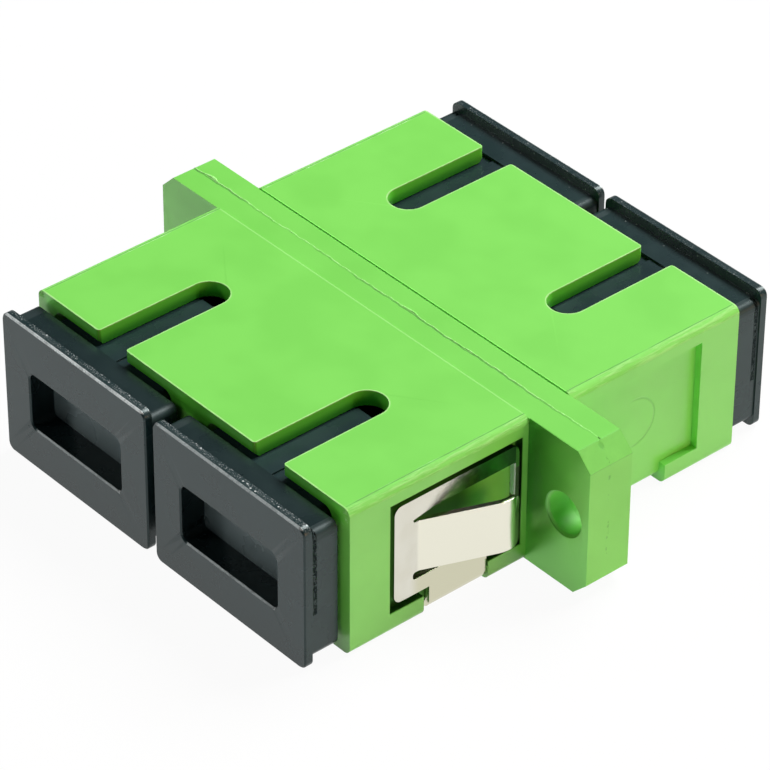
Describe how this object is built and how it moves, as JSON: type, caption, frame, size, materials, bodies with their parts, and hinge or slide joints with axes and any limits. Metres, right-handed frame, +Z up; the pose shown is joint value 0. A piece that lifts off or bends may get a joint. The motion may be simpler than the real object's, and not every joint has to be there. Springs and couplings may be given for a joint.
{
  "type": "duplex sc fibre adapter",
  "caption": "Flanged duplex adapter that joins pairs of push-pull fibre plugs end to end, with split sleeves, a spring panel clip and pull-out dust caps.",
  "frame": {"origin": "on the surface the body lies on, under the middle of the weld seam", "axes": "+X across the two ports, Y along the optical axes with the clipped front half towards -Y, +Z up out of the key-slot side"},
  "size_m": [0.0342, 0.0318, 0.0092],
  "materials": {
    "housing_plastic": "moulded apple-green plastic, satin, with a thin irregular weld line round the flange",
    "latch_plastic": "moulded dark plastic, plain",
    "sleeve_ceramic": "ground ceramic, off-white",
    "clip_steel": "thin spring sheet, bright, slightly warm",
    "cap_plastic": "moulded dark slate plastic, satin, scuffed along the lip's edges"
  },
  "bodies": {
    "adapter": {"front_housing": "housing_plastic", "rear_housing": "housing_plastic", "front_left_latch": "latch_plastic", "front_right_latch": "latch_plastic", "rear_left_latch": "latch_plastic", "rear_right_latch": "latch_plastic", "left_sleeve": "sleeve_ceramic", "right_sleeve": "sleeve_ceramic", "panel_clip": "clip_steel"},
    "front_left_cap": {"front_left_cap": "cap_plastic"},
    "front_right_cap": {"front_right_cap": "cap_plastic"},
    "rear_left_cap": {"rear_left_cap": "cap_plastic"},
    "rear_right_cap": {"rear_right_cap": "cap_plastic"}
  },
  "joints": [
    {"name": "front_left_cap_slide", "type": "slide", "parent": "adapter", "child": "front_left_cap", "axis": [0, -1, 0], "range_m": [0, 0.0095]},
    {"name": "front_right_cap_slide", "type": "slide", "parent": "adapter", "child": "front_right_cap", "axis": [0, -1, 0], "range_m": [0, 0.0095]},
    {"name": "rear_left_cap_slide", "type": "slide", "parent": "adapter", "child": "rear_left_cap", "axis": [0, 1, 0], "range_m": [0, 0.0095]},
    {"name": "rear_right_cap_slide", "type": "slide", "parent": "adapter", "child": "rear_right_cap", "axis": [0, 1, 0], "range_m": [0, 0.0095]}
  ]
}
